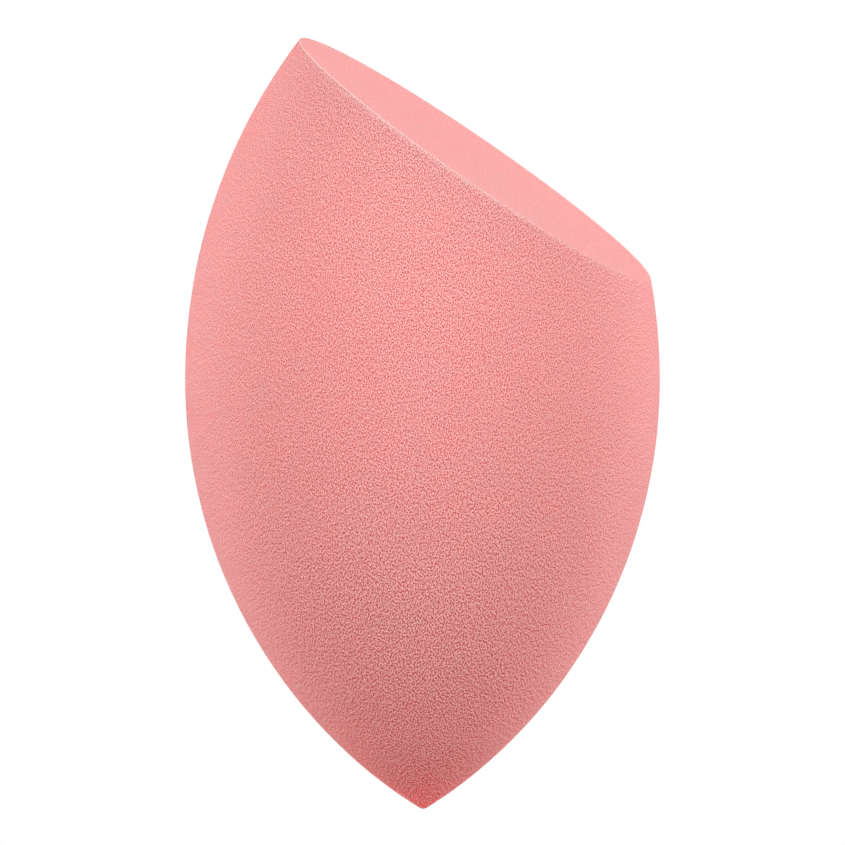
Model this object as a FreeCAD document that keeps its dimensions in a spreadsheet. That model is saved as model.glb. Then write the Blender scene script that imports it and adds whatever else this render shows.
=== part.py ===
"""Makeup sponge: one piece of soft foam, ground to a lemon-shaped blank and sliced flat at a slant.

The sponge stands on its flat face. The face lies in the plane z = 0 and the origin is the point of that
face on the sponge's own axis. The axis leans from the vertical towards -X by the slope of the slice, and
the blunt point is at its upper end. The XZ plane is the sponge's one plane of symmetry.
"""

import FreeCAD
import Part
import Sketcher

import math
import os

NODE = "foam_body"

# Lengths are in millimetres and the slope is in degrees.
SIZES = {
    "belly_diameter": 40.0,
    "tip_length": 36.9,
    "crown_length": 38.9,
    "cut_height": 21.9,
    "cut_slope": 34.5,
    "tip_round": 0.6,
    "rim_round": 0.08,
    "cut_overrun": 5.0,
}

# What each size is, for whoever opens the sheet.
NOTES = {
    "belly_diameter": "widest place, square to the axis",
    "tip_length": "belly to the point at which the lower flanks aim",
    "crown_length": "belly to the blank's other point, which the slice takes off",
    "cut_height": "belly to the place where the slice crosses the axis",
    "cut_slope": "slant of the slice against a square cut",
    "tip_round": "radius of the blunt point",
    "rim_round": "radius of the edge round the flat face",
    "cut_overrun": "how far the slice reaches past the foam",
}


def make_sheet(doc):
    """The driving dimensions: a name, a number and a note in each row."""
    sheet = doc.addObject("Spreadsheet::Sheet", "Sizes")
    for row, (name, value) in enumerate(SIZES.items(), start=1):
        sheet.set(f"A{row}", name)
        sheet.set(f"B{row}", str(value))
        sheet.set(f"C{row}", NOTES[name])
        sheet.setAlias(f"B{row}", name)
    doc.recompute()
    return sheet


def origin_plane(body, role):
    """One of the body's own origin planes, such as XZ_Plane."""
    return next(plane for plane in body.Origin.OriginFeatures if plane.Role == role)


def new_sketch(body, name, role):
    """An empty sketch on one of the body's origin planes."""
    sketch = body.newObject("Sketcher::SketchObject", name)
    sketch.AttachmentSupport = [(origin_plane(body, role), "")]
    sketch.MapMode = "FlatFace"
    return sketch


def bind(sketch, name, constraint, expression):
    """Adds a named dimension to a sketch and ties it to the sheet."""
    index = sketch.addConstraint(constraint)
    sketch.renameConstraint(index, name)
    sketch.setExpression(f"Constraints.{name}", expression)


def draw_profile(sketch, sheet):
    """Half of the lemon's outline, drawn upright on the sketch's own vertical axis, which is the sponge's.

    The sketch's origin is where the slice crosses the axis, and its upper end is the tip. The two flanks are
    arcs that meet upright at the belly, so both have their centres at the belly's height.
    """
    radius = sheet.belly_diameter / 2
    belly = sheet.cut_height
    crown = belly - sheet.crown_length
    apex = belly + sheet.tip_length
    lower_radius = (radius**2 + sheet.tip_length**2) / (2 * radius)
    upper_radius = (radius**2 + sheet.crown_length**2) / (2 * radius)
    lower_centre = radius - lower_radius
    tip_reach = math.sqrt((lower_radius - sheet.tip_round) ** 2 - lower_centre**2)
    tip_angle = math.atan2(tip_reach, -lower_centre)
    crown_angle = math.asin(sheet.crown_length / upper_radius)

    def arc(across, along, size, start, end):
        circle = Part.Circle(FreeCAD.Vector(across, along), FreeCAD.Vector(0, 0, 1), size)
        return sketch.addGeometry(Part.ArcOfCircle(circle, start, end))

    upper = arc(radius - upper_radius, belly, upper_radius, -crown_angle, 0)
    lower = arc(lower_centre, belly, lower_radius, 0, tip_angle)
    tip = arc(0, belly + tip_reach, sheet.tip_round, tip_angle, math.pi / 2)
    top = FreeCAD.Vector(0, belly + tip_reach + sheet.tip_round)
    axis = sketch.addGeometry(Part.LineSegment(top, FreeCAD.Vector(0, crown)))
    aim = sketch.addGeometry(Part.Point(FreeCAD.Vector(0, apex)), True)

    start, end, centre = 1, 2, 3
    origin, vertical = -1, -2
    for constraint in (
        Sketcher.Constraint("Coincident", upper, end, lower, start),
        Sketcher.Constraint("Tangent", lower, end, tip, start),
        Sketcher.Constraint("Coincident", tip, end, axis, start),
        Sketcher.Constraint("Coincident", axis, end, upper, start),
        Sketcher.Constraint("PointOnObject", axis, start, vertical),
        Sketcher.Constraint("PointOnObject", axis, end, vertical),
        Sketcher.Constraint("PointOnObject", tip, centre, vertical),
        Sketcher.Constraint("Horizontal", upper, centre, upper, end),
        Sketcher.Constraint("Horizontal", lower, centre, lower, start),
        Sketcher.Constraint("PointOnObject", aim, start, vertical),
        Sketcher.Constraint("PointOnObject", aim, start, lower),
    ):
        sketch.addConstraint(constraint)
    bind(
        sketch,
        "belly_radius",
        Sketcher.Constraint("DistanceX", origin, start, lower, start, radius),
        "Sizes.belly_diameter / 2",
    )
    bind(
        sketch,
        "belly_height",
        Sketcher.Constraint("DistanceY", origin, start, lower, start, belly),
        "Sizes.cut_height",
    )
    bind(
        sketch,
        "belly_to_crown",
        Sketcher.Constraint("DistanceY", upper, start, upper, end, sheet.crown_length),
        "Sizes.crown_length",
    )
    bind(
        sketch,
        "belly_to_aim",
        Sketcher.Constraint("DistanceY", lower, start, aim, start, sheet.tip_length),
        "Sizes.tip_length",
    )
    bind(
        sketch,
        "tip_radius",
        Sketcher.Constraint("Radius", tip, sheet.tip_round),
        "Sizes.tip_round",
    )


def grind_blank(doc, body, sheet):
    """The whole lemon, turned about its leaning axis."""
    profile = new_sketch(body, "Profile", "XZ_Plane")
    lean = FreeCAD.Rotation(FreeCAD.Vector(0, 0, 1), sheet.cut_slope)
    profile.AttachmentOffset = FreeCAD.Placement(FreeCAD.Vector(), lean)
    profile.setExpression("AttachmentOffset.Rotation.Angle", "Sizes.cut_slope")
    draw_profile(profile, sheet)
    blank = body.newObject("PartDesign::Revolution", "Blank")
    blank.Profile = profile
    blank.ReferenceAxis = (profile, ["V_Axis"])
    blank.Angle = 360
    doc.recompute()
    return blank


def slice_crown(doc, body, sheet, blank):
    """Takes off all of the blank below z = 0, which leaves the flat face."""
    outline = new_sketch(body, "Slice_outline", "XY_Plane")
    reach = sheet.belly_diameter / 2 / math.cos(math.radians(sheet.cut_slope)) + sheet.cut_overrun
    circle = Part.Circle(FreeCAD.Vector(), FreeCAD.Vector(0, 0, 1), reach)
    disc = outline.addGeometry(circle)
    origin, start, centre = -1, 1, 3
    outline.addConstraint(Sketcher.Constraint("Coincident", disc, centre, origin, start))
    bind(
        outline,
        "reach",
        Sketcher.Constraint("Radius", disc, reach),
        "Sizes.belly_diameter / 2 / cos(Sizes.cut_slope) + Sizes.cut_overrun",
    )
    cut = body.newObject("PartDesign::Pocket", "Slice")
    cut.Profile = outline
    cut.Type = "ThroughAll"
    doc.recompute()
    if cut.Shape.Volume >= blank.Shape.Volume:
        raise RuntimeError("the slice took nothing off the blank")
    return cut


def round_rim(doc, body, cut):
    """The slightly worn edge round the flat face."""
    flat = [face for face in cut.Shape.Faces if isinstance(face.Surface, Part.Plane)]
    if len(flat) != 1:
        raise RuntimeError("the slice should leave one flat face")
    rim = [
        f"Edge{number}"
        for number, edge in enumerate(cut.Shape.Edges, start=1)
        if any(edge.isSame(side) for side in flat[0].Edges)
    ]
    edge = body.newObject("PartDesign::Fillet", "Rim")
    edge.Base = (cut, rim)
    edge.setExpression("Radius", "Sizes.rim_round")
    doc.recompute()
    return edge


def make_foam_body(doc, sheet):
    """The sponge: blank, slice and softened rim."""
    body = doc.addObject("PartDesign::Body", "Foam")
    body.Label = NODE
    body.Placement = FreeCAD.Placement()
    blank = grind_blank(doc, body, sheet)
    cut = slice_crown(doc, body, sheet, blank)
    round_rim(doc, body, cut)
    return body


def check(doc, parts):
    """Stops before anything is written if an object failed or a solid is bad."""
    failed = [thing.Name for thing in doc.Objects if {"Invalid", "Error"} & set(thing.State)]
    if failed:
        raise RuntimeError(f"these objects failed: {failed}")
    for part in parts:
        shape = part.Shape
        if shape.isNull() or not shape.isValid() or len(shape.Solids) != 1:
            raise RuntimeError(f"{part.Label} isn't one valid solid")


def main():
    doc = FreeCAD.newDocument("Makeup_sponge")
    sheet = make_sheet(doc)
    parts = [make_foam_body(doc, sheet)]
    doc.recompute()
    check(doc, parts)
    os.makedirs("parts", exist_ok=True)
    for part in parts:
        part.Shape.exportStep(f"parts/{part.Label}.step")
        centre = part.Shape.CenterOfGravity
        print(f"{part.Label}: {part.Shape.Volume:.1f} cubic millimetres")
        print(f"centre of gravity at {centre.x:.2f}, {centre.y:.2f}, {centre.z:.2f}")


main()
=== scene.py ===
"""Looks of a makeup sponge: soft salmon-pink foam with fine open cells, on a pale floor in soft light."""

import math

import bmesh
import bpy
from bpy.props import FloatProperty, FloatVectorProperty, IntProperty, PointerProperty
from mathutils import Matrix, Vector, noise


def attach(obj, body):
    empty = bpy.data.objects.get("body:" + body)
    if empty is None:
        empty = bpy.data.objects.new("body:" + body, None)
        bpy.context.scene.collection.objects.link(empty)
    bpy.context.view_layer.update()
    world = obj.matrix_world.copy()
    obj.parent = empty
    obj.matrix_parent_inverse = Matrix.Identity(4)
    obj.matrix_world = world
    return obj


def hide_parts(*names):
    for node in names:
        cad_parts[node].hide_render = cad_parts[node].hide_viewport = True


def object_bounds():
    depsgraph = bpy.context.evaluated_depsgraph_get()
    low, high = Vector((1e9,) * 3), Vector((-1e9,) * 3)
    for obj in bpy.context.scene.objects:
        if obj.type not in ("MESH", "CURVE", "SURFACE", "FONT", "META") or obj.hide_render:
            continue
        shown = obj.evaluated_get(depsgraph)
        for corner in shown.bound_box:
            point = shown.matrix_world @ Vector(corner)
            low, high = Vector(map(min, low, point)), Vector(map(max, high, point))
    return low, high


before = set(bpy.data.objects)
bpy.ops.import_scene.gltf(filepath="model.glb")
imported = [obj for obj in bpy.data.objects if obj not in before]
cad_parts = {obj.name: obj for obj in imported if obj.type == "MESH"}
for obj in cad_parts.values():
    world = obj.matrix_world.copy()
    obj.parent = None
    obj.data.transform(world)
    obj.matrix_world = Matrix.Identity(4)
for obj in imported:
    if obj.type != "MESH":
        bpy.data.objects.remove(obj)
CAD_LOW, CAD_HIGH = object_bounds()

bl_info = {
    "name": "Makeup Sponge",
    "version": (1, 0, 0),
    "blender": (4, 5, 0),
    "location": "View3D > Sidebar > Sponge",
    "description": "Models a foam makeup sponge and sets it on a plain stage",
    "category": "Add Mesh",
}

FOAM_NODE = "foam_body"
BODY = "root"


class SpongeSizes(bpy.types.PropertyGroup):
    """Sizes of the foam body, as its solid has them, and how finely its mesh is divided"""

    belly_diameter: FloatProperty(
        name="Belly Diameter",
        description="Width at the widest place, square to the sponge's axis",
        default=CAD_HIGH.y - CAD_LOW.y,
        unit="LENGTH",
    )
    tip_length: FloatProperty(
        name="Tip Length",
        description="From the belly to the point at which the lower flanks aim",
        default=0.0369,
        unit="LENGTH",
    )
    crown_length: FloatProperty(
        name="Crown Length",
        description="From the belly to the blank's other point, which the slice takes off",
        default=0.0389,
        unit="LENGTH",
    )
    cut_height: FloatProperty(
        name="Cut Height",
        description="From the belly to the place where the slice crosses the axis",
        default=0.0219,
        unit="LENGTH",
    )
    cut_slope: FloatProperty(
        name="Cut Slope",
        description="Slant of the slice against a square cut",
        default=math.radians(34.5),
        unit="ROTATION",
    )
    tip_round: FloatProperty(
        name="Tip Round",
        description="Radius of the blunt point",
        default=0.0006,
        unit="LENGTH",
    )
    rim_round: FloatProperty(
        name="Rim Round",
        description="Radius of the edge round the flat face",
        default=0.00008,
        unit="LENGTH",
    )
    around: IntProperty(
        name="Steps Around",
        description="Faces in one turn round the sponge",
        default=384,
        min=24,
    )
    tip_rings: IntProperty(
        name="Tip Rings",
        description="Rings of faces from the belly to the tip",
        default=120,
        min=8,
    )
    crown_rings: IntProperty(
        name="Crown Rings",
        description="Rings of faces from the belly to the flat face",
        default=40,
        min=8,
    )


class FoamFinish(bpy.types.PropertyGroup):
    """Colour and grain of the foam"""

    foam_colour: FloatVectorProperty(
        name="Foam Colour",
        description="Colour of the palest cells and the walls between them",
        default=(1.0, 0.665, 0.66),
        subtype="COLOR",
        min=0,
        max=1,
    )
    # Partly painted shade: the deep cells are darker both by random tone and as shade in their pits.
    pit_tone_and_painted_shade: FloatVectorProperty(
        name="Cell Colour",
        description="Colour of the deepest cells",
        default=(0.60, 0.04, 0.04),
        subtype="COLOR",
        min=0,
        max=1,
    )
    # Painted shade: the deepest cells at the very tip are darker still, standing in for the shade there.
    painted_tip_cell_colour: FloatVectorProperty(
        name="Tip Colour",
        description="Colour of the deepest cells at the very tip",
        default=(0.36, 0.04, 0.04),
        subtype="COLOR",
        min=0,
        max=1,
    )
    # Painted shade: this tint darkens all the foam at the very tip, as shade would.
    tip_darkening_tint: FloatVectorProperty(
        name="Tip Tint",
        description="Tint that dulls all the foam at the very tip, where red light soaks through it",
        default=(0.84, 1.0, 1.0),
        subtype="COLOR",
        min=0,
        max=1,
    )
    # Partly painted light: the flat face is paler, partly where the blade has closed the cells and partly for
    # the light it catches.
    cut_colour_and_painted_light: FloatVectorProperty(
        name="Cut Colour",
        description="Colour of the flat face, where the blade has closed the cells",
        default=(0.68, 0.54, 0.54),
        subtype="COLOR",
        min=0,
        max=1,
    )
    # Partly painted highlight: the pale line along the cut edge is partly wear and partly light that the edge
    # catches.
    worn_and_lit_edge_colour: FloatVectorProperty(
        name="Edge Colour",
        description="Paler colour along the cut edge, where light comes through the foam",
        default=(1.0, 0.80, 0.77),
        subtype="COLOR",
        min=0,
        max=1,
    )
    cell_size: FloatProperty(
        name="Cell Size",
        description="Usual distance from one cell to the next, round the sponge",
        default=0.00018,
        unit="LENGTH",
    )
    cell_stretch: FloatProperty(
        name="Cell Stretch",
        description="How much longer a cell is along the sponge than round it",
        default=1.5,
        min=1,
    )
    cell_depth: FloatProperty(
        name="Cell Depth",
        description="Depth of the open cells below the walls between them",
        default=0.00005,
        unit="LENGTH",
    )
    cut_smoothness: FloatProperty(
        name="Cut Smoothness",
        description="How much fainter the cells are on the flat face",
        default=0.6,
        subtype="FACTOR",
        min=0,
        max=1,
    )


class StageSetup(bpy.types.PropertyGroup):
    """Camera, lamps and floor"""

    camera_distance: FloatProperty(
        name="Camera Distance",
        description="From the camera to the middle of the picture",
        default=1.0,
        unit="LENGTH",
    )
    camera_rise: FloatProperty(
        name="Camera Rise",
        description="How far the camera looks down on the belly, with the tip held downwards",
        default=math.radians(9.5),
        unit="ROTATION",
    )
    camera_roll: FloatProperty(
        name="Camera Roll",
        description="Turn of the picture about its middle",
        default=math.radians(-0.1),
        unit="ROTATION",
    )
    picture_width: FloatProperty(
        name="Picture Width",
        description="Width of the picture at the sponge",
        default=0.07115,
        unit="LENGTH",
    )
    picture_drop: FloatProperty(
        name="Picture Drop",
        description="From the belly's middle to the middle of the picture, towards the tip",
        default=0.00354,
        unit="LENGTH",
    )
    room_light: FloatProperty(
        name="Room Light",
        description="Even light from all round, where 1 is white",
        default=0.2,
        min=0,
    )
    floor_size: FloatProperty(
        name="Floor Size",
        description="Length of the floor's sides",
        default=6.0,
        unit="LENGTH",
    )
    floor_drop: FloatProperty(
        name="Floor Drop",
        description="Gap between the floor and the flat face",
        default=0.0001,
        unit="LENGTH",
    )


class Outline:
    """The lemon's half outline, upright on the Z axis with its tip upwards.

    The origin is where the slice crosses the axis. The two flanks are arcs that meet upright at the belly.
    """

    def __init__(self, sizes):
        self.radius = sizes.belly_diameter / 2
        self.belly = sizes.cut_height
        self.slant = math.tan(sizes.cut_slope)
        self.tip_round = sizes.tip_round
        self.lower_radius = self.arc_radius(sizes.tip_length)
        self.upper_radius = self.arc_radius(sizes.crown_length)
        self.lower_centre = self.radius - self.lower_radius
        self.upper_centre = self.radius - self.upper_radius
        self.tip_reach = math.sqrt((self.lower_radius - self.tip_round) ** 2 - self.lower_centre**2)
        self.tip_angle = math.atan2(self.tip_reach, -self.lower_centre)

    def arc_radius(self, length):
        """Radius of the arc from the belly's edge to a point on the axis that far from the belly."""
        return (self.radius**2 + length**2) / (2 * self.radius)

    def rim_angle(self, heading):
        """Angle of the crown's arc from the belly to the slice; heading is the cosine of the direction."""
        lean = self.slant * heading
        height = (self.belly + lean * self.upper_centre) / (self.upper_radius * math.hypot(1, lean))
        return math.atan(lean) + math.asin(height)

    def along(self, height):
        """Distance along the flank from the belly to this height."""
        rise = height - self.belly
        radius = self.lower_radius if rise > 0 else self.upper_radius
        return radius * math.asin(rise / radius)


def spin_arc(bm, start, centre, angle, steps):
    """Draws an arc from a vertex round a centre in the XZ plane, and returns its last vertex."""
    spun = bmesh.ops.spin(
        bm, geom=[start], cent=centre, axis=(0, 1, 0), angle=angle, steps=steps, use_duplicate=False
    )
    return next(item for item in spun["geom_last"] if isinstance(item, bmesh.types.BMVert))


def grind_blank(bm, sizes, outline):
    """The lemon from its tip to a square-cut crown, turned from its outline."""
    belly = bm.verts.new((outline.radius, 0, outline.belly))
    spin_arc(bm, belly, (outline.upper_centre, 0, outline.belly), outline.rim_angle(0), sizes.crown_rings)
    shoulder = spin_arc(
        bm, belly, (outline.lower_centre, 0, outline.belly), -outline.tip_angle, sizes.tip_rings
    )
    tip_rings = 4
    tip_centre = (0, 0, outline.belly + outline.tip_reach)
    spin_arc(bm, shoulder, tip_centre, outline.tip_angle - math.pi / 2, tip_rings)
    seam = sizes.tip_round / 1000
    bmesh.ops.spin(
        bm,
        geom=bm.verts[:] + bm.edges[:],
        cent=(0, 0, 0),
        axis=(0, 0, 1),
        angle=math.pi,
        steps=sizes.around // 2,
    )
    bmesh.ops.mirror(bm, geom=bm.verts[:] + bm.edges[:] + bm.faces[:], axis="Y", merge_dist=seam)
    bmesh.ops.remove_doubles(bm, verts=bm.verts, dist=seam)
    bmesh.ops.recalc_face_normals(bm, faces=bm.faces)


def slice_crown(bm, sizes, outline):
    """Slides the crown's rings along the flank until the last lies in the slice, which becomes level."""
    square = outline.rim_angle(0)
    for vert in bm.verts:
        drop = outline.belly - vert.co.z
        if drop > 0:
            across = vert.co.xy.normalized()
            angle = math.asin(drop / outline.upper_radius) * outline.rim_angle(across.x) / square
            vert.co.xy = across * (outline.upper_centre + outline.upper_radius * math.cos(angle))
            vert.co.z = outline.belly - outline.upper_radius * math.sin(angle)
    bmesh.ops.rotate(bm, verts=bm.verts, cent=(0, 0, 0), matrix=Matrix.Rotation(-sizes.cut_slope, 3, "Y"))


def close_flat(bm, sizes):
    """Fills the flat face, softens its edge and marks that edge for a pale line, most where it is sharpest:
    partly wear, partly a painted highlight.
    """
    rim_steps = 4
    ring_shares = (0.98, 0.8, 0.6, 0.4, 0.2)
    rim = [edge for edge in bm.edges if edge.is_boundary]
    bmesh.ops.edgeloop_fill(bm, edges=rim)
    bmesh.ops.recalc_face_normals(bm, faces=bm.faces)
    softened = bmesh.ops.bevel(
        bm,
        geom=rim,
        offset=sizes.rim_round,
        offset_type="OFFSET",
        affect="EDGES",
        segments=rim_steps,
        profile=0.5,
        material=-1,
    )
    flat = max(bm.faces, key=lambda face: len(face.verts))
    middle = flat.calc_center_median()
    low = min(vert.co.x for vert in flat.verts)
    high = max(vert.co.x for vert in flat.verts)
    whole = 1
    for share in ring_shares:
        flat = bmesh.ops.extrude_discrete_faces(bm, faces=[flat])["faces"][0]
        shrink = share / whole
        bmesh.ops.scale(bm, verts=flat.verts, vec=(shrink, shrink, 1), space=Matrix.Translation(-middle))
        whole = share
    bmesh.ops.poke(bm, faces=[flat])
    # The pale line along the cut edge: partly wear, partly a painted highlight, strongest towards the sharper
    # end.
    edge_mark = bm.verts.layers.float["worn_and_lit_edge"]
    for vert in bm.verts:
        vert[edge_mark] = 0
    for vert in softened["verts"]:
        rise = min(1, max(0, vert.co.z / sizes.rim_round))
        vert[edge_mark] = 4 * rise * (1 - rise) * (vert.co.x - low) / (high - low)


def lay_grain(bm, sizes, outline):
    """Gives each face corner its place in the grain, in metres along the surface.

    The flank is laid out in narrow gores, each a little to the side of the last, so that no cell is squeezed,
    and the flat face lies beyond them. Towards the tip the cells get longer, and on the flat face they are
    larger.
    """
    gores, gore_spacing = 24, 0.01
    flat_offset, flat_across, flat_along = -0.1, 0.6, 0.55
    tip_drawing = 0.25
    facing_down = -0.999
    gore_angle = 2 * math.pi / gores
    upright = Matrix.Rotation(sizes.cut_slope, 3, "Y")
    place = bm.loops.layers.float_vector["grain_place"]
    cut = bm.verts.layers.float["cut_face"]
    openness = bm.verts.layers.float["openness"]
    # Openness runs from 0 at the belly to 1 at the tip: it sharpens the grain and places the tip's painted
    # shade.
    for vert in bm.verts:
        height = (upright @ vert.co).z
        vert[openness] = min(1, max(0, (height - outline.belly) / outline.tip_reach))
    for face in bm.faces:
        if face.normal.z < facing_down:
            for loop in face.loops:
                spot = loop.vert.co
                loop[place] = (spot.x * flat_along, spot.y * flat_across + flat_offset, 0)
                loop.vert[cut] = 1
            continue
        middle = upright @ face.calc_center_median()
        gore = math.floor(math.atan2(middle.y, middle.x) / gore_angle)
        for loop in face.loops:
            spot = upright @ loop.vert.co
            turn = math.atan2(spot.y, spot.x) - (gore + 0.5) * gore_angle
            turn = math.remainder(turn, 2 * math.pi)
            around = spot.xy.length * turn + gore * gore_spacing
            drawn = 1 - tip_drawing * loop.vert[openness]
            loop[place] = (around, outline.along(spot.z) * drawn, 0)


def uneven_flank(bm):
    """The slight waviness that grinding leaves on the flank; the flat face and its edge stay true."""
    swell, swell_length = 0.00003, 0.006
    ripple, ripple_length = 0.00001, 0.0016
    bm.normal_update()
    for vert in bm.verts:
        held = min(1, max(0, vert.co.z / swell_length))
        wave = swell * noise.noise(vert.co / swell_length) + ripple * noise.noise(vert.co / ripple_length)
        vert.co -= vert.normal * held * (wave + swell + ripple) / 2


def new_node(tree, kind, name, inputs=None, **settings):
    """A node with this name, its settings made and its inputs filled in."""
    node = tree.nodes.new(kind)
    node.name = name
    for key, value in settings.items():
        setattr(node, key, value)
    for key, value in (inputs or {}).items():
        node.inputs[key].default_value = value
    return node


def attribute_node(tree, name):
    """Reads one of the layers that the mesh carries."""
    return new_node(tree, "ShaderNodeAttribute", name, attribute_name=name)


def colour_mix(tree, name, colour):
    """Mixes another colour into the one that comes in."""
    return new_node(tree, "ShaderNodeMix", name, {"B": (*colour, 1)}, data_type="RGBA")


def cell_nodes(tree, finish):
    """The grain: fine noise, its spread from 0 in the deepest cells to 1 in the palest, and the tip's share.

    The nearer to the tip, the sharper the step between the two, and at the very tip more cells are dark, a
    painted shade.
    The tip's share is 0 on most of the sponge and 1 at its point, and sets how much painted shade the tip
    gets.
    """
    steps_per_cell = 2
    turn = math.radians(35)
    place = attribute_node(tree, "grain_place")
    openness = attribute_node(tree, "openness")
    stretch = new_node(
        tree,
        "ShaderNodeMapping",
        "cell_stretch",
        {"Scale": (1, 1 / finish.cell_stretch, 1), "Rotation": (0, 0, turn)},
    )
    cells = new_node(
        tree,
        "ShaderNodeTexNoise",
        "cells",
        {"Scale": steps_per_cell / finish.cell_size, "Detail": 0},
        noise_dimensions="2D",
    )
    # Painted shade at the tip: this share darkens the tip's cells and foam and makes more of its cells dark.
    tip = new_node(tree, "ShaderNodeMapRange", "tip_shade_share", {"From Min": 0.8})
    middle = new_node(tree, "ShaderNodeMapRange", "cell_middle", {"To Min": 0.48, "To Max": 0.524})
    reach = new_node(tree, "ShaderNodeMapRange", "cell_reach", {"To Min": 0.34, "To Max": 0.03})
    deepest = new_node(tree, "ShaderNodeMath", "deepest_cell", operation="SUBTRACT")
    palest = new_node(tree, "ShaderNodeMath", "palest_cell", operation="ADD")
    spread = new_node(tree, "ShaderNodeMapRange", "cell_spread")

    link = tree.links.new
    link(place.outputs["Vector"], stretch.inputs["Vector"])
    link(stretch.outputs["Vector"], cells.inputs["Vector"])
    link(openness.outputs["Fac"], tip.inputs["Value"])
    link(tip.outputs["Result"], middle.inputs["Value"])
    link(openness.outputs["Fac"], reach.inputs["Value"])
    for limit, socket in ((deepest, "From Min"), (palest, "From Max")):
        link(middle.outputs["Result"], limit.inputs[0])
        link(reach.outputs["Result"], limit.inputs[1])
        link(limit.outputs["Value"], spread.inputs[socket])
    link(cells.outputs["Fac"], spread.inputs["Value"])
    return cells.outputs["Fac"], spread.outputs["Result"], tip.outputs["Result"]


def foam_finish(finish):
    """Matte open-celled foam: fine cells of uneven tone and depth with painted shade in their pits and at the
    tip, a smoother cut made paler partly by painted light, and a pale cut edge that is partly a painted
    highlight.
    """
    material = bpy.data.materials.new("salmon_foam")
    material.use_nodes = True
    tree = material.node_tree
    shader = tree.nodes["Principled BSDF"]
    shader.inputs["Specular IOR Level"].default_value = 0.06
    shader.inputs["Subsurface Weight"].default_value = 1.0
    shader.inputs["Subsurface Radius"].default_value = (1.0, 0.03, 0.028)
    shader.inputs["Subsurface Scale"].default_value = 0.05
    shader.inputs["Sheen Weight"].default_value = 0.6
    shader.inputs["Sheen Roughness"].default_value = 0.5
    shader.inputs["Sheen Tint"].default_value = (1.0, 0.2, 0.18, 1)

    cells, spread, tip = cell_nodes(tree, finish)
    cut = attribute_node(tree, "cut_face")
    pale_edge_line = attribute_node(tree, "worn_and_lit_edge")
    closed = new_node(
        tree, "ShaderNodeMath", "closed_cells", {1: finish.cut_smoothness}, operation="MULTIPLY"
    )
    # Painted shade: the deep cells are darkened as shade in their pits, and more so at the very tip.
    deep = colour_mix(tree, "deep_and_tip_shaded_cells", finish.painted_tip_cell_colour)
    deep.inputs["A"].default_value = (*finish.pit_tone_and_painted_shade, 1)
    # The grain: random tone, with painted shade in the pits.
    grain = colour_mix(tree, "cell_tone_and_pit_shade", finish.foam_colour)
    # Painted shade: darkens all the foam at the very tip.
    painted_tip_darkening = colour_mix(tree, "tip_painted_shade", finish.tip_darkening_tint)
    painted_tip_darkening.blend_type = "MULTIPLY"
    # Partly painted light: the flat face is paler, partly where the cut has closed the cells and partly for
    # the light it catches.
    sliced = colour_mix(tree, "cut_tone_and_painted_light", finish.cut_colour_and_painted_light)
    # Partly painted highlight: a paler line along the cut edge, partly wear and partly light that the edge
    # catches.
    edged = colour_mix(tree, "pale_edge_line_mix", finish.worn_and_lit_edge_colour)
    relief = new_node(tree, "ShaderNodeBump", "cell_relief", {"Distance": finish.cell_depth})
    gloss = new_node(tree, "ShaderNodeMapRange", "cell_gloss", {"To Min": 0.6, "To Max": 0.45})

    link = tree.links.new
    link(tip, deep.inputs["Factor"])
    link(spread, grain.inputs["Factor"])
    link(deep.outputs["Result"], grain.inputs["A"])
    link(tip, painted_tip_darkening.inputs["Factor"])
    link(grain.outputs["Result"], painted_tip_darkening.inputs["A"])
    link(cut.outputs["Fac"], closed.inputs[0])
    link(closed.outputs["Value"], sliced.inputs["Factor"])
    link(painted_tip_darkening.outputs["Result"], sliced.inputs["A"])
    link(pale_edge_line.outputs["Fac"], edged.inputs["Factor"])
    link(sliced.outputs["Result"], edged.inputs["A"])
    link(edged.outputs["Result"], shader.inputs["Base Color"])
    link(cells, relief.inputs["Height"])
    link(relief.outputs["Normal"], shader.inputs["Normal"])
    link(spread, gloss.inputs["Value"])
    link(gloss.outputs["Result"], shader.inputs["Roughness"])
    return material


class SPONGE_OT_foam_body(bpy.types.Operator):
    """Model the foam body in place of its plain solid"""

    bl_idname = "sponge.foam_body"
    bl_label = "Foam Body"

    def execute(self, context):
        sizes = context.scene.sponge_sizes
        outline = Outline(sizes)
        bm = bmesh.new()
        bm.verts.layers.float.new("worn_and_lit_edge")
        bm.verts.layers.float.new("cut_face")
        bm.verts.layers.float.new("openness")
        bm.loops.layers.float_vector.new("grain_place")
        grind_blank(bm, sizes, outline)
        slice_crown(bm, sizes, outline)
        close_flat(bm, sizes)
        bmesh.ops.recalc_face_normals(bm, faces=bm.faces)
        lay_grain(bm, sizes, outline)
        uneven_flank(bm)
        if any(not edge.is_manifold for edge in bm.edges):
            raise RuntimeError("the foam body isn't closed")
        for face in bm.faces:
            face.smooth = True
        mesh = bpy.data.meshes.new("foam_sponge")
        bm.to_mesh(mesh)
        bm.free()
        mesh.materials.append(foam_finish(context.scene.foam_finish))
        sponge = bpy.data.objects.new("foam_sponge", mesh)
        # The floor takes the sponge's shadow, but no pink light from it.
        sponge.visible_diffuse = False
        context.scene.collection.objects.link(sponge)
        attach(sponge, BODY)
        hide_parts(FOAM_NODE)
        return {"FINISHED"}


def view_axes(sizes):
    """Right, up and towards the viewer, for a sponge held tip down, its flat face sloping to the right."""
    cosine, sine = math.cos(sizes.cut_slope), math.sin(sizes.cut_slope)
    right = Vector((-cosine, 0, -sine))
    up = Vector((sine, 0, -cosine))
    towards = Vector((0, -1, 0))
    return right, up, towards


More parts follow.
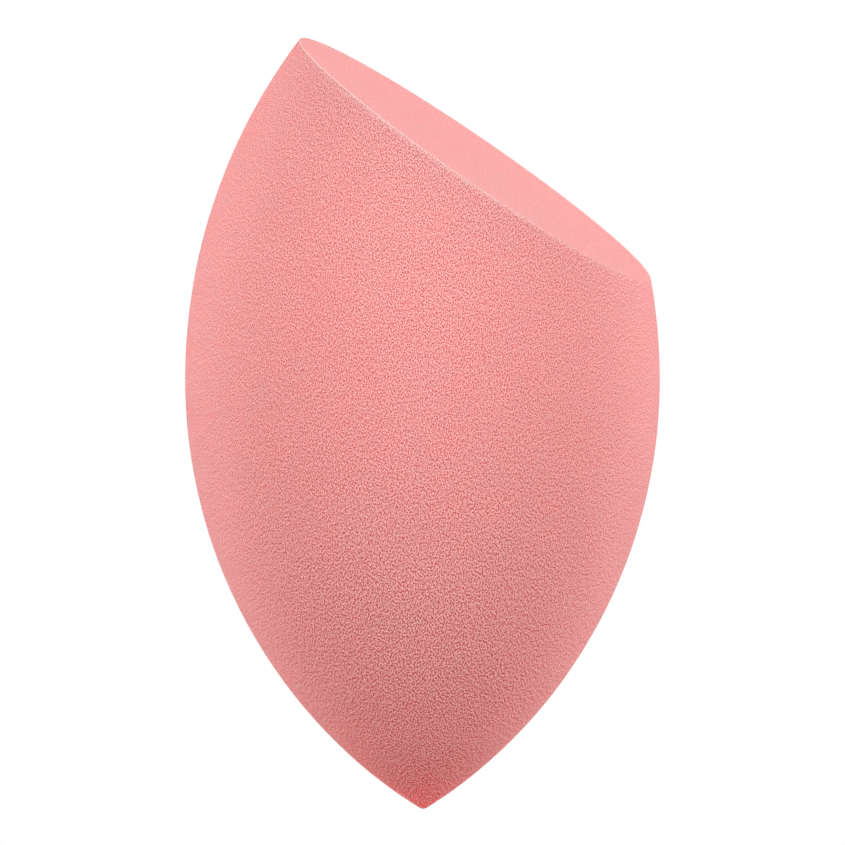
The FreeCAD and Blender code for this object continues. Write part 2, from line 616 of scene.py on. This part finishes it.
def set_camera(scene, sizes, stage):
    """A long lens, looking at the sponge held tip down."""
    right, up, towards = view_axes(sizes)
    rise = stage.camera_rise
    back = math.sin(rise) * up + math.cos(rise) * towards
    upright = math.cos(rise) * up - math.sin(rise) * towards
    middle = -sizes.cut_height * up - stage.picture_drop * upright
    turn = Matrix((right, upright, back)).transposed() @ Matrix.Rotation(stage.camera_roll, 3, "Z")
    data = bpy.data.cameras.new("camera")
    data.lens = data.sensor_width * stage.camera_distance / stage.picture_width
    data.clip_end = 10 * stage.camera_distance
    camera = bpy.data.objects.new("camera", data)
    camera.matrix_world = Matrix.LocRotScale(middle + back * stage.camera_distance, turn, None)
    scene.collection.objects.link(camera)
    scene.camera = camera


def hang_softbox(scene, name, middle, way, distance, size, level):
    """A square lamp that lights a surface facing it to this level, where 1 is white."""
    data = bpy.data.lights.new(name, "AREA")
    data.shape = "SQUARE"
    data.size = size
    data.energy = level * (math.pi * distance) ** 2
    lamp = bpy.data.objects.new(name, data)
    way = way.normalized()
    lamp.matrix_world = Matrix.LocRotScale(middle + way * distance, way.to_track_quat("Z", "Y"), None)
    lamp.visible_camera = False
    scene.collection.objects.link(lamp)


def hang_lamps(scene, sizes):
    """Softboxes behind the sponge on both sides, level, low and above, and two in front, one of them high."""
    right, up, towards = view_axes(sizes)
    middle = -sizes.cut_height * up
    distance, size = 0.6, 0.4
    for name, way, level in (
        ("left_softbox", -0.8 * right + 0.1 * up - 0.6 * towards, 0.52),
        ("right_softbox", 0.8 * right + 0.1 * up - 0.6 * towards, 0.48),
        ("low_left_softbox", -0.7 * right - 0.45 * up - 0.55 * towards, 0.37),
        ("low_right_softbox", 0.7 * right - 0.45 * up - 0.55 * towards, 0.42),
        ("top_softbox", 0.5 * right + 0.7 * up - 0.5 * towards, 0.1),
        ("front_softbox", 0.17 * up + 0.98 * towards, 0.17),
        ("high_softbox", 0.5 * up + 0.87 * towards, 0.84),
    ):
        hang_softbox(scene, name, middle, way, distance, size, level)


def set_world(scene, stage):
    """Even room light, with white behind the object."""
    world = bpy.data.worlds.new("white_room")
    world.use_nodes = True
    tree = world.node_tree
    tree.nodes.clear()
    plain = (1, 1, 1, 1)
    room = new_node(
        tree, "ShaderNodeBackground", "room", {"Color": plain, "Strength": stage.room_light}
    )
    white = new_node(tree, "ShaderNodeBackground", "white", {"Color": plain})
    ray = new_node(tree, "ShaderNodeLightPath", "ray")
    seen = new_node(tree, "ShaderNodeMath", "seen", operation="MAXIMUM")
    mirrored = new_node(tree, "ShaderNodeMath", "mirrored", operation="MAXIMUM")
    mix = new_node(tree, "ShaderNodeMixShader", "mix")
    out = new_node(tree, "ShaderNodeOutputWorld", "out")
    tree.links.new(ray.outputs["Is Glossy Ray"], mirrored.inputs[0])
    tree.links.new(ray.outputs["Is Transmission Ray"], mirrored.inputs[1])
    tree.links.new(ray.outputs["Is Camera Ray"], seen.inputs[0])
    tree.links.new(mirrored.outputs["Value"], seen.inputs[1])
    tree.links.new(seen.outputs["Value"], mix.inputs["Fac"])
    tree.links.new(room.outputs["Background"], mix.inputs[1])
    tree.links.new(white.outputs["Background"], mix.inputs[2])
    tree.links.new(mix.outputs["Shader"], out.inputs["Surface"])
    scene.world = world


def lay_floor(scene, stage):
    """A pale floor that is seen from above only, and neither lights the sponge nor shades it."""
    bm = bmesh.new()
    bmesh.ops.create_grid(bm, x_segments=1, y_segments=1, size=stage.floor_size / 2)
    bmesh.ops.translate(bm, verts=bm.verts, vec=(0, 0, -stage.floor_drop))
    mesh = bpy.data.meshes.new("floor")
    bm.to_mesh(mesh)
    bm.free()
    material = bpy.data.materials.new("pale_floor")
    material.use_nodes = True
    tree = material.node_tree
    shader = tree.nodes["Principled BSDF"]
    shader.inputs["Base Color"].default_value = (0.9, 0.9, 0.9, 1)
    shader.inputs["Roughness"].default_value = 1.0
    shader.inputs["Specular IOR Level"].default_value = 0.0
    shader.inputs["Emission Color"].default_value = (1, 1, 1, 1)
    shader.inputs["Emission Strength"].default_value = 0.25
    clear = tree.nodes.new("ShaderNodeBsdfTransparent")
    side = tree.nodes.new("ShaderNodeNewGeometry")
    mix = tree.nodes.new("ShaderNodeMixShader")
    tree.links.new(side.outputs["Backfacing"], mix.inputs["Fac"])
    tree.links.new(shader.outputs["BSDF"], mix.inputs[1])
    tree.links.new(clear.outputs["BSDF"], mix.inputs[2])
    tree.links.new(mix.outputs["Shader"], tree.nodes["Material Output"].inputs["Surface"])
    mesh.materials.append(material)
    floor = bpy.data.objects.new("floor", mesh)
    floor.visible_diffuse = False
    floor.visible_glossy = False
    floor.visible_transmission = False
    floor.visible_shadow = False
    scene.collection.objects.link(floor)


class SPONGE_OT_stage(bpy.types.Operator):
    """Set the floor, the lamps and the camera"""

    bl_idname = "sponge.stage"
    bl_label = "Stage"

    def execute(self, context):
        scene = context.scene
        sizes, stage = scene.sponge_sizes, scene.stage_setup
        scene.view_settings.view_transform = "Standard"
        lay_floor(scene, stage)
        hang_lamps(scene, sizes)
        set_world(scene, stage)
        set_camera(scene, sizes, stage)
        return {"FINISHED"}


class SPONGE_PT_sidebar(bpy.types.Panel):
    """Sizes, finish and stage of the sponge"""

    bl_label = "Makeup Sponge"
    bl_idname = "SPONGE_PT_sidebar"
    bl_space_type = "VIEW_3D"
    bl_region_type = "UI"
    bl_category = "Sponge"

    def draw(self, context):
        for group in (context.scene.sponge_sizes, context.scene.foam_finish, context.scene.stage_setup):
            box = self.layout.box()
            for name in group.__annotations__:
                box.prop(group, name)
        for operator in (SPONGE_OT_foam_body, SPONGE_OT_stage):
            self.layout.operator(operator.bl_idname)


CLASSES = (SpongeSizes, FoamFinish, StageSetup, SPONGE_OT_foam_body, SPONGE_OT_stage, SPONGE_PT_sidebar)


def register():
    for item in CLASSES:
        bpy.utils.register_class(item)
    bpy.types.Scene.sponge_sizes = PointerProperty(type=SpongeSizes)
    bpy.types.Scene.foam_finish = PointerProperty(type=FoamFinish)
    bpy.types.Scene.stage_setup = PointerProperty(type=StageSetup)


def unregister():
    del bpy.types.Scene.stage_setup
    del bpy.types.Scene.foam_finish
    del bpy.types.Scene.sponge_sizes
    for item in reversed(CLASSES):
        bpy.utils.unregister_class(item)


def main():
    register()
    bpy.ops.sponge.foam_body()
    bpy.ops.sponge.stage()


if __name__ == "__main__":
    main()
